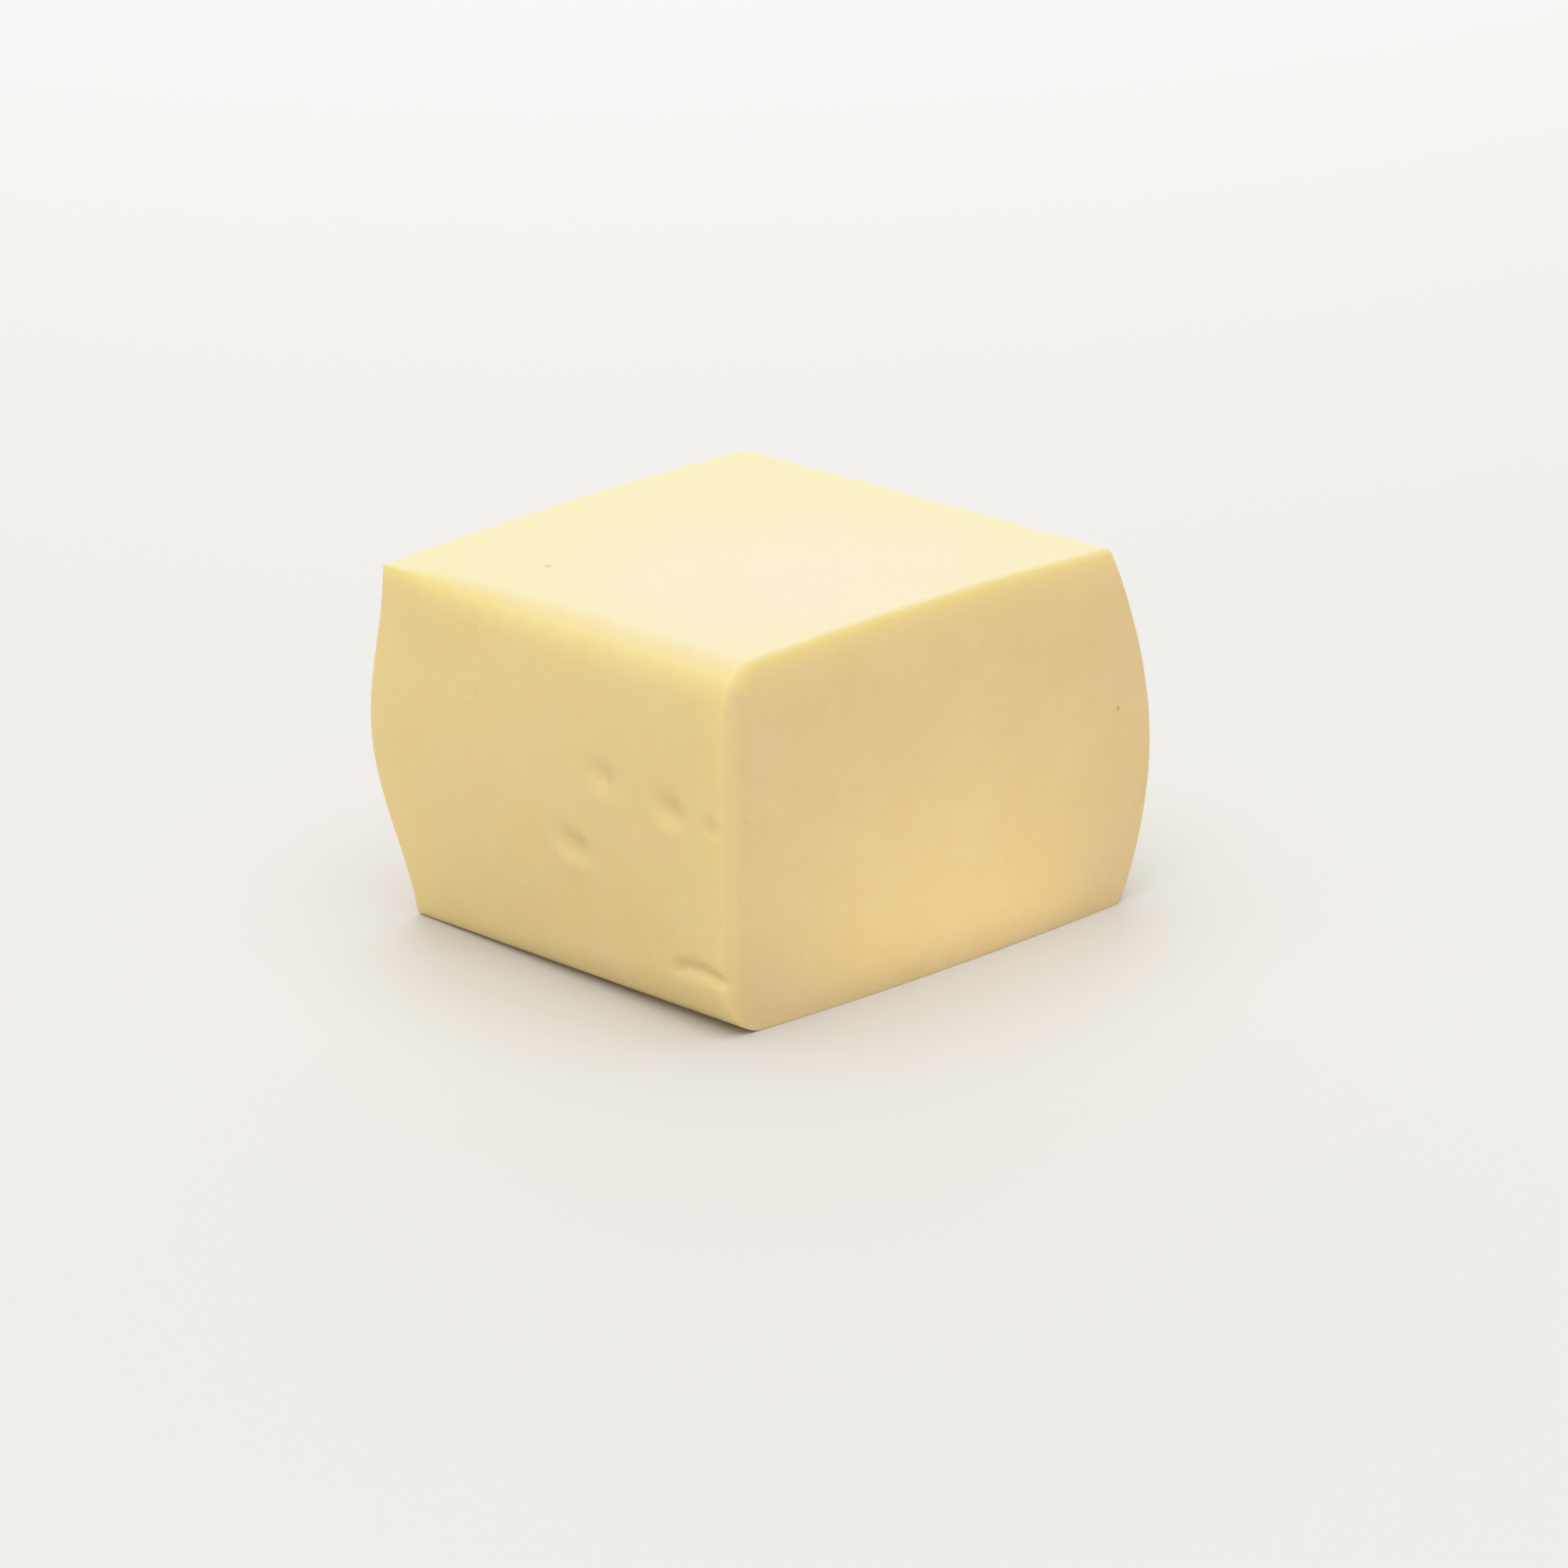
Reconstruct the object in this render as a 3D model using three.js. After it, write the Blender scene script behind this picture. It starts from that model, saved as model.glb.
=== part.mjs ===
// A block of mozzarella cut by hand from a moulded loaf, slumped a little under its own weight.
// Millimetres, +Z up, with the origin under the middle of the block at its flat base.
// The front (-Y) is the cut face. The left (-X) is the loaf's moulded skin, with a soft top edge,
// a base edge that tucks under, three dimples and a crease low down by the cut. The right (+X) is
// the loaf's other side, which bulges and has two shallow dimples. The back (+Y) is a second cut.

import * as THREE from 'three';

const { degToRad, lerp, smoothstep } = THREE.MathUtils;

// The plain block that the real one departs from.
const WIDTH = 138;
const LENGTH = 132;
const HEIGHT = 100;

// How far each wall stands outside the plain block. A wall is followed from its first end to its
// second: front to back on the sides, left to right on the cuts. Top, base and bulge hold a value
// for each end, and bow is the extra reach half way along, at the base and at the top. Fullest is
// the share of the height at which the bulge reaches furthest. Lateness is how slowly the bulge
// grows below that height and falls off above it: over 1 keeps it off the edges. Shoulder is how
// far the wall leans in over the top part of its height, at each end, or flares out where it is
// negative.
const EVEN = { bow: [0, 0], fullest: 0.5, lateness: [1, 1], shoulder: [0, 0] };
const WALLS = {
  left: {
    ...EVEN,
    top: [1.8, 3.8],
    base: [4, -2],
    bulge: [0.8, 7.9],
    fullest: 0.54,
    lateness: [1.3, 1.65],
    shoulder: [1.6, -0.8],
  },
  right: {
    ...EVEN,
    top: [0.8, -0.7],
    base: [-0.3, -2.6],
    bulge: [13.2, 8.7],
    fullest: 0.46,
    lateness: [0.9, 0.8],
  },
  front: { ...EVEN, top: [-2.5, 0.8], base: [-3.8, 6.2], bulge: [1.6, 1.2], bow: [2.6, 0] },
  back: { ...EVEN, top: [-2.7, 4.4], base: [-4.4, -2.9], bulge: [2.5, 2.5], bow: [0, 2.2] },
};

// Share of the height at which a shoulder starts.
const SHOULDER_START = 0.76;

// The soft top edge changes little along the skin until near the back: the power of that change.
const TOP_FADE = 3;

// How much higher the top is half way along each of its edges than at its corners.
const CROWN = { left: 0.5, right: 0, front: 1.5, back: 0.4 };

// How much higher the top's corners are than the plain block's, left and right.
const RISE = { front: [0, -0.4], back: [0.8, 0] };

// Edge roundings. Those with two values have one at the front and one at the back.
const SKIN_TOP_WIDTH = [7.5, 0.8];
const SKIN_TOP_HEIGHT = [12, 7];
const TUCK_WIDTH = [13.5, 1.2];
const TUCK_HEIGHT = [17, 2];
const SHARP_RADIUS = 1.2;
const CUT_RADIUS = 1;
const CUT_TOP_RADIUS = [1.8, 1];
const SKIN_CUT_RADIUS = [2.5, 1];

// The edges between the skin and the cuts are sharp at the base, and fully rounded from this share
// of the height up.
const SHARP_FOOT = 0.15;

// Dimples in the sides: -1 is the skin and 1 the far side, then their places along and up it, their
// shares of the full depth, and the form they share. Below each the side rises in a soft lip: its
// share of the depth, and how far down it is in half heights.
const DIMPLES = [
  { side: -1, y: -46.6, z: 59.2, share: 0.85 },
  { side: -1, y: -22.2, z: 62, share: 0.75 },
  { side: -1, y: -10.3, z: 40.7, share: 1 },
  { side: 1, y: -36, z: 43, share: 0.7 },
  { side: 1, y: -11, z: 58, share: 0.5 },
];
const DIMPLE = {
  halfLength: 4.6,
  halfHeight: 3.2,
  slant: degToRad(-11),
  depth: 2.8,
  lipShare: 0.25,
  lipDrop: 1.9,
};

// The crease runs in an arch along the skin from where it starts to the front cut, over a swollen
// lip that dies out towards the cut. Its height has a value at its start and one at the cut.
const CREASE = { start: -44, z: [14.7, 16.1], arch: 2.5, halfHeight: 1.8, fade: 6, depth: 1.8 };
const LIP = { drop: 4.8, halfHeight: 3.4, fade: 8, swell: 0.4 };

// The front cut is dished a little: where it is deepest, across and up it, its half sizes and depth.
const DISH = { x: 5, z: 62, halfWidth: 45, halfHeight: 26, depth: 1.5 };

// How far into the block a mark on a side still moves the neighbouring faces.
const MARK_REACH = 9;

// The stretch along the sides and up them that the dimples lie in.
const DIMPLED_Y = Math.max(...DIMPLES.map(({ y }) => y)) + 2 * DIMPLE.halfLength;
const DIMPLED_Z = [
  Math.min(...DIMPLES.map(({ z }) => z)) - 2 * DIMPLE.halfHeight,
  Math.max(...DIMPLES.map(({ z }) => z)) + 2 * DIMPLE.halfHeight,
];

// Grid cells on each axis up to a place in the plain block, finer over the rounded edges and the marks.
const CELLS_X = [
  { to: TUCK_WIDTH[0] - WIDTH / 2, cells: 5 },
  { to: WIDTH / 2 - SHARP_RADIUS, cells: 10 },
  { to: WIDTH / 2, cells: 3 },
];
const CELLS_Y = [
  { to: SKIN_CUT_RADIUS[0] - LENGTH / 2, cells: 3 },
  { to: DIMPLED_Y, cells: 18 },
  { to: LENGTH / 2 - SKIN_CUT_RADIUS[1], cells: 7 },
  { to: LENGTH / 2, cells: 3 },
];
const CELLS_Z = [
  { to: CREASE.z[0] - CREASE.halfHeight, cells: 5 },
  { to: CREASE.z[1] + CREASE.arch + CREASE.halfHeight, cells: 6 },
  { to: DIMPLED_Z[0], cells: 2 },
  { to: DIMPLED_Z[1], cells: 11 },
  { to: HEIGHT - SKIN_TOP_HEIGHT[0], cells: 3 },
  { to: HEIGHT, cells: 4 },
];

// Places of the grid lines along one axis, from its low end.
function gridLines(low, bands) {
  const lines = [low];
  for (const { to, cells } of bands) {
    const from = lines.at(-1);
    for (let i = 1; i <= cells; i++) {
      lines.push(lerp(from, to, i / cells));
    }
  }
  return lines;
}

// A closed box whose surface grid follows the given lines on the three axes.
function gridBox(linesX, linesY, linesZ) {
  const axes = [linesX, linesY, linesZ];
  const size = axes.map((lines) => lines.at(-1) - lines[0]);
  const cells = axes.map((lines) => lines.length - 1);
  const box = new THREE.BoxGeometry(...size, ...cells);
  const position = box.attributes.position;
  for (let i = 0; i < position.count; i++) {
    axes.forEach((lines, axis) => {
      const share = position.getComponent(i, axis) / size[axis] + 0.5;
      position.setComponent(i, axis, lines[Math.round(share * cells[axis])]);
    });
  }
  return box;
}

// Rounds one long edge: inside the corner's rectangle of width by height, square rings become oval ones.
// The corner lies at the low or high end of x and z, so sideX and sideZ are -1 or 1.
function roundEdge(p, sideX, sideZ, width, height) {
  const cornerX = (sideX * WIDTH) / 2;
  const cornerZ = sideZ < 0 ? 0 : HEIGHT;
  const u = 1 - Math.abs(p.x - cornerX) / width;
  const v = 1 - Math.abs(p.z - cornerZ) / height;
  if (u <= 0 || v <= 0) return;
  const shrink = Math.max(u, v) / Math.hypot(u, v);
  p.x = cornerX - sideX * width * (1 - u * shrink);
  p.z = cornerZ - sideZ * height * (1 - v * shrink);
}

function roundLongEdges(p) {
  const along = p.y / LENGTH + 0.5;
  const fade = along ** TOP_FADE;
  roundEdge(p, -1, 1, lerp(...SKIN_TOP_WIDTH, fade), lerp(...SKIN_TOP_HEIGHT, fade));
  roundEdge(p, -1, -1, lerp(...TUCK_WIDTH, along), lerp(...TUCK_HEIGHT, along));
  roundEdge(p, 1, 1, SHARP_RADIUS, SHARP_RADIUS);
  roundEdge(p, 1, -1, SHARP_RADIUS, SHARP_RADIUS);
}

// How far a rounded edge has drawn in at a distance short of the face that it meets.
function drawIn(radius, distance) {
  const short = Math.max(radius - distance, 0);
  return radius - Math.sqrt(radius * radius - short * short);
}

// Rounds the edges beside and above the two cuts by drawing the section in as it nears them.
function roundCutEdges(p) {
  const distance = LENGTH / 2 - Math.abs(p.y);
  const end = p.y < 0 ? 0 : 1;
  const edge = drawIn(CUT_RADIUS, distance);
  const topEdge = drawIn(CUT_TOP_RADIUS[end], distance);
  const skinEdge = drawIn(SKIN_CUT_RADIUS[end], distance);
  const up = p.z / HEIGHT;
  p.x += lerp(skinEdge * Math.min(up / SHARP_FOOT, 1), -edge, p.x / WIDTH + 0.5);
  p.z -= up * topEdge;
}

// Share of a wall's bulge at a share of its height: none at the base and the top.
function bulgeShare(up, { fullest, lateness }) {
  const turn = up ** (Math.log(0.5) / Math.log(fullest));
  return Math.sin(Math.PI * Math.min(turn, 1)) ** lateness[up < fullest ? 0 : 1];
}

// Nothing at either end of a run from -1 to 1, and 1 in its middle.
function arch(run) {
  return 1 - run * run;
}

function wallReach(wall, along, up) {
  const straight = lerp(lerp(...wall.base, along), lerp(...wall.top, along), up);
  const bulge = lerp(...wall.bulge, along) * bulgeShare(up, wall);
  const bow = lerp(...wall.bow, up) * arch(2 * along - 1);
  const lean = Math.max(up - SHOULDER_START, 0) / (1 - SHOULDER_START);
  return straight + bulge + bow - lerp(...wall.shoulder, along ** TOP_FADE) * lean * lean;
}

function hollow(share) {
  return Math.exp(-share * share);
}

function dishDepth(x, z) {
  return DISH.depth * hollow(Math.hypot((x - DISH.x) / DISH.halfWidth, (z - DISH.z) / DISH.halfHeight));
}

// Carries a point of the plain block to the slumped one. The base stays flat.
function slump(p) {
  const acrossX = p.x / WIDTH + 0.5;
  const acrossY = p.y / LENGTH + 0.5;
  const up = p.z / HEIGHT;
  const crownX = lerp(CROWN.front, CROWN.back, acrossY) * arch(2 * acrossX - 1);
  const crownY = lerp(CROWN.left, CROWN.right, acrossX) * arch(2 * acrossY - 1);
  const rise = lerp(lerp(...RISE.front, acrossX), lerp(...RISE.back, acrossX), acrossY);
  const frontReach = wallReach(WALLS.front, acrossX, up) - dishDepth(p.x, p.z);
  p.x += lerp(-wallReach(WALLS.left, acrossY, up), wallReach(WALLS.right, acrossY, up), acrossX);
  p.y += lerp(-frontReach, wallReach(WALLS.back, acrossX, up), acrossY);
  p.z += up * (crownX + crownY + rise);
}

function dimpleDepth(side, y, z) {
  const cos = Math.cos(DIMPLE.slant);
  const sin = Math.sin(DIMPLE.slant);
  let depth = 0;
  for (const dimple of DIMPLES.filter((each) => each.side === side)) {
    const toFront = dimple.y - y;
    const above = z - dimple.z;
    const along = (toFront * cos + above * sin) / DIMPLE.halfLength;
    const across = (above * cos - toFront * sin) / DIMPLE.halfHeight;
    const lip = DIMPLE.lipShare * hollow(Math.hypot(along, across + DIMPLE.lipDrop));
    depth += dimple.share * (hollow(Math.hypot(along, across)) - lip);
  }
  return DIMPLE.depth * depth;
}

function creaseDepth(y, z) {
  const run = (CREASE.start - y) / (CREASE.start + LENGTH / 2);
  const line = lerp(...CREASE.z, run) + CREASE.arch * Math.max(arch(2 * run - 1), 0);
  const strength = smoothstep(CREASE.start - y, 0, CREASE.fade);
  const groove = CREASE.depth * hollow((z - line) / CREASE.halfHeight);
  const lip = LIP.swell * hollow((z - line + LIP.drop) / LIP.halfHeight);
  return strength * (groove - lip * smoothstep(y + LENGTH / 2, 0, LIP.fade));
}

// How far along x the marks push a point of the plain block.
function markShift({ x, y, z }) {
  const nearSkin = Math.max(1 - (x + WIDTH / 2) / MARK_REACH, 0);
  const nearFarSide = Math.max(1 - (WIDTH / 2 - x) / MARK_REACH, 0);
  const skinDepth = dimpleDepth(-1, y, z) + creaseDepth(y, z);
  return nearSkin * skinDepth - nearFarSide * dimpleDepth(1, y, z);
}

function mozzarellaGeometry() {
  const box = gridBox(
    gridLines(-WIDTH / 2, CELLS_X),
    gridLines(-LENGTH / 2, CELLS_Y),
    gridLines(0, CELLS_Z),
  );
  const position = box.attributes.position;
  const p = new THREE.Vector3();
  for (let i = 0; i < position.count; i++) {
    p.fromBufferAttribute(position, i);
    const shift = markShift(p);
    roundLongEdges(p);
    roundCutEdges(p);
    slump(p);
    p.x += shift;
    position.setXYZ(i, p.x, p.y, p.z);
  }
  box.computeBoundingBox();
  const middle = box.boundingBox.getCenter(new THREE.Vector3());
  box.translate(-middle.x, -middle.y, 0);
  box.computeVertexNormals();
  return box;
}

const cheese = new THREE.MeshStandardMaterial({ color: 0xf0dca0, roughness: 0.45, metalness: 0 });

const block = new THREE.Mesh(mozzarellaGeometry(), cheese);
block.name = 'mozzarella_block';

const group = new THREE.Group();
group.add(block);

export default group;
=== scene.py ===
"""A block of mozzarella cut from a moulded loaf, with its finish and a plain studio around it.

The file is laid out as a Blender add-on and is run as a script. Lengths are metres, +Z is up, and
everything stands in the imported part's frame: the front (-Y) is the cut face, and the left (-X) is
the loaf's moulded skin.
"""

import math
import random
from typing import NamedTuple

import bmesh
import bpy
from mathutils import Matrix, Vector, noise


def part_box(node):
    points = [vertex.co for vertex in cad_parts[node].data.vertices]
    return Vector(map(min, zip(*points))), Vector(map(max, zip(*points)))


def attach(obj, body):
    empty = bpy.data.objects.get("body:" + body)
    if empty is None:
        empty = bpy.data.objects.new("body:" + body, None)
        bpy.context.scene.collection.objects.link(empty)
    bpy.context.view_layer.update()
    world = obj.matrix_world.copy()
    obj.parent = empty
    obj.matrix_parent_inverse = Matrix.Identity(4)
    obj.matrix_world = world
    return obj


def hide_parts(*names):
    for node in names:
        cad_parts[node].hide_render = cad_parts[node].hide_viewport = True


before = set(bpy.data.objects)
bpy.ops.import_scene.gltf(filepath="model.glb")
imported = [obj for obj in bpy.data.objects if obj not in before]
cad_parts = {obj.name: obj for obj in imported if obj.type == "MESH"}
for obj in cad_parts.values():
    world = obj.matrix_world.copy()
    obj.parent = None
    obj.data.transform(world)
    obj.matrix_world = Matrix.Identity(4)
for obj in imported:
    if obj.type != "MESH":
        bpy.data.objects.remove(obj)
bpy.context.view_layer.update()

bl_info = {
    "name": "Mozzarella Block",
    "version": (1, 0, 0),
    "blender": (4, 5, 0),
    "location": "3D View > Sidebar > Mozzarella",
    "description": "Builds a cut block of mozzarella and a plain studio to look at it in",
    "category": "Object",
}

NODE = "mozzarella_block"
PIECE = "mozzarella_block_surface"


# Ways to blend

def lerp(first, second, share):
    return first + (second - first) * share


def smooth_step(value, low, high):
    share = min(max((value - low) / (high - low), 0.0), 1.0)
    return share * share * (3 - 2 * share)


def arch(run):
    """Nothing at either end of a run from -1 to 1, and 1 in its middle."""
    return 1 - run * run


def hollow(share):
    """1 at a share of 0, falling off like a bell."""
    return math.exp(-share * share)


# Shape of the block

class Wall(NamedTuple):
    """How far a wall stands outside the plain block.

    A wall is followed from its first end to its second: front to back on the sides, left to right
    on the cuts. Top, base and bulge hold a value for each end, and bow is the extra reach half way
    along, at the base and at the top. Fullest is the share of the height at which the bulge
    reaches furthest. Lateness is how slowly the bulge grows below that height and falls off above
    it: over 1 keeps it off the edges. Shoulder is how far the wall leans in over the top part of
    its height, at each end, or flares out where it is negative.
    """

    top: tuple
    base: tuple
    bulge: tuple
    bow: tuple = (0.0, 0.0)
    fullest: float = 0.5
    lateness: tuple = (1.0, 1.0)
    shoulder: tuple = (0.0, 0.0)

    def reach(self, along, up):
        straight = lerp(lerp(*self.base, along), lerp(*self.top, along), up)
        # The power brings the sine half way through its turn at the fullest height.
        turn = min(up ** (math.log(0.5) / math.log(self.fullest)), 1.0)
        below, above = self.lateness
        lateness = below if up < self.fullest else above
        swell = lerp(*self.bulge, along) * math.sin(math.pi * turn) ** lateness
        bow = lerp(*self.bow, up) * arch(2 * along - 1)
        lean = max(up - SHOULDER_START, 0.0) / (1 - SHOULDER_START)
        return straight + swell + bow - lerp(*self.shoulder, along ** TOP_FADE) * lean * lean


# Share of the height at which a shoulder starts.
SHOULDER_START = 0.76

# The soft top edge changes little along the skin until near the back: the power of that change.
TOP_FADE = 3

LEFT_WALL = Wall(
    top=(0.0018, 0.0038),
    base=(0.004, -0.002),
    bulge=(0.0008, 0.0079),
    fullest=0.54,
    lateness=(1.3, 1.65),
    shoulder=(0.0016, -0.0008),
)
RIGHT_WALL = Wall(
    top=(0.0008, -0.0007),
    base=(-0.0003, -0.0026),
    bulge=(0.0132, 0.0087),
    fullest=0.46,
    lateness=(0.9, 0.8),
)
FRONT_WALL = Wall(
    top=(-0.0025, 0.0008), base=(-0.0038, 0.0062), bulge=(0.0016, 0.0012), bow=(0.0026, 0.0)
)
BACK_WALL = Wall(
    top=(-0.0027, 0.0044), base=(-0.0044, -0.0029), bulge=(0.0025, 0.0025), bow=(0.0, 0.0022)
)

# How much higher the top is half way along each of its edges than at its corners.
CROWN_LEFT = 0.0005
CROWN_RIGHT = 0.0
CROWN_FRONT = 0.0015
CROWN_BACK = 0.0004

# How much higher the top's corners are than the plain block's, left and right.
FRONT_RISE = (0.0, -0.0004)
BACK_RISE = (0.0008, 0.0)

# Edge roundings. Those with two values have one at the front and one at the back.
SKIN_TOP_WIDTH = (0.0075, 0.0008)
SKIN_TOP_HEIGHT = (0.012, 0.007)
TUCK_WIDTH = (0.0135, 0.0012)
TUCK_HEIGHT = (0.017, 0.002)
SHARP_RADIUS = 0.0012
CUT_RADIUS = 0.001
CUT_TOP_RADIUS = (0.0018, 0.001)
SKIN_CUT_RADIUS = (0.0025, 0.001)

# The edges between the skin and the cuts are sharp at the base, and fully rounded from this share
# of the height up.
SHARP_FOOT = 0.15

# The grid starts as a cube of this side, and has so many fine cells over the rounding at each end of
# an axis.
CUBE_SIDE = 1.0
EDGE_CELLS = 5


SKIN_SIDE = -1
FAR_SIDE = 1


class Dimple(NamedTuple):
    """A dimple in one of the two sides: its place there, and its share of the full depth."""

    side: int
    y: float
    z: float
    share: float


DIMPLES = (
    Dimple(SKIN_SIDE, y=-0.0466, z=0.0592, share=0.85),
    Dimple(SKIN_SIDE, y=-0.0222, z=0.062, share=0.75),
    Dimple(SKIN_SIDE, y=-0.0103, z=0.0407, share=1.0),
    Dimple(FAR_SIDE, y=-0.036, z=0.043, share=0.7),
    Dimple(FAR_SIDE, y=-0.011, z=0.058, share=0.5),
)

# The form that the dimples share. Below each the side rises in a soft lip: its share of the depth,
# and how far down it is in half heights.
DIMPLE_HALF_LENGTH = 0.0046
DIMPLE_HALF_HEIGHT = 0.0032
DIMPLE_SLANT = math.radians(-11)
DIMPLE_LIP_SHARE = 0.25
DIMPLE_LIP_DROP = 1.9

# The crease runs in an arch along the skin from where it starts to the front cut, over a swollen
# lip that dies out towards the cut. Its height has a value at its start and one at the cut.
CREASE_START = -0.044
CREASE_Z = (0.0147, 0.0161)
CREASE_ARCH = 0.0025
CREASE_HALF_HEIGHT = 0.0016
CREASE_FADE = 0.006
LIP_DROP = 0.0048
LIP_HALF_HEIGHT = 0.0034
LIP_FADE = 0.008

# The front cut is dished a little: where it is deepest, across and up it, and its half sizes.
DISH_PLACE = (0.005, 0.062)
DISH_HALF_WIDTH = 0.045
DISH_HALF_HEIGHT = 0.026

# How far into the block a mark on a side still moves the neighbouring faces.
MARK_REACH = 0.009

X_AXIS, Y_AXIS, Z_AXIS = range(3)
LOW_END, HIGH_END = range(2)

# How far a surface must turn to a side before it counts as that side, and when it wholly does.
FACING = (0.4, 0.9)

# The skin is a little paler towards the cuts, a painted highlight where its edge turns to the light: by
# how much of the edge light's tint, over what width, and how far round the corner it goes.
SKIN_EDGE_LIGHT_SHARE = 0.3
SKIN_EDGE_LIGHT_WIDTH = 0.01
SKIN_EDGE_LIGHT_REACH = 0.002

# The top's colour, with its painted sheen, is palest here and yellower away from it.
HEART = (-0.012, -0.035)
HEART_RADIUS = 0.065


class Pit(NamedTuple):
    """A pinhole: the axis that it is sunk along, the end of that axis, its place on the other two.

    Shade is how much painted shade its bottom has, as a share of the pits' dark colour.
    """

    axis: int
    end: int
    place: tuple
    radius: float
    depth: float
    shade: float = 0.0


SHOWN_PITS = (
    Pit(X_AXIS, LOW_END, (-0.0611, 0.0576), radius=0.003, depth=0.0009),
    Pit(Y_AXIS, LOW_END, (0.0592, 0.0559), radius=0.0008, depth=0.0006, shade=0.2),
    Pit(Y_AXIS, LOW_END, (-0.008, 0.0723), radius=0.0006, depth=0.0002),
    Pit(Y_AXIS, LOW_END, (-0.0173, 0.0701), radius=0.0006, depth=0.0002),
    Pit(Y_AXIS, LOW_END, (0.0102, 0.0627), radius=0.0005, depth=0.0002),
    Pit(Z_AXIS, HIGH_END, (-0.0433, 0.028), radius=0.0013, depth=0.0004, shade=0.6),
)

# The two walls that the view doesn't show get pits at random: how many, the share of the wall at
# each edge that they keep off, and the least and most radius and depth.
HIDDEN_WALLS = ((X_AXIS, HIGH_END), (Y_AXIS, HIGH_END))
PITS_ON_A_HIDDEN_WALL = 5
PIT_SEED = 11
PIT_EDGE_MARGIN = 0.15
HIDDEN_PIT_RADIUS = (0.0005, 0.001)
HIDDEN_PIT_DEPTH = (0.0002, 0.0004)

# How many cuts each grid edge near a pit gets, and how many radii out that goes. A pit's side falls
# from its rim to its bottom between two shares of its radius.
PIT_CUTS = 3
PIT_PATCH = 2.0
PIT_SLOPE = (0.2, 1.3)

# Slow waves and weaker ripples leave the walls less than flat, and die out below a height.
WAVE_LENGTH = 0.034
RIPPLE_LENGTH = 0.011
RIPPLE_SHARE = 0.22
WAVE_FREE_HEIGHT = 0.006


def grid_lines(low, high, edge, cell):
    """Places of the grid lines along one axis, with fine cells over the edge at each end."""
    fine = [edge * step / EDGE_CELLS for step in range(EDGE_CELLS)]
    inner = high - low - 2 * edge
    cells = round(inner / cell)
    middle = [low + edge + inner * step / cells for step in range(cells + 1)]
    return [low + step for step in fine] + middle + [high - step for step in reversed(fine)]


def grid_block(bm, axes):
    """A closed box whose surface grid follows the given lines on the three axes."""
    bmesh.ops.create_cube(bm, size=CUBE_SIDE)
    for axis, lines in enumerate(axes):
        whole = [edge for edge in bm.edges if edge_run(edge, axis) > CUBE_SIDE / 2]
        bmesh.ops.subdivide_edges(bm, edges=whole, cuts=len(lines) - 2, use_grid_fill=True)
    for vert in bm.verts:
        for axis, lines in enumerate(axes):
            share = vert.co[axis] / CUBE_SIDE + 0.5
            vert.co[axis] = lines[round(share * (len(lines) - 1))]


def edge_run(edge, axis):
    first, second = edge.verts
    return abs(first.co[axis] - second.co[axis])


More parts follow.
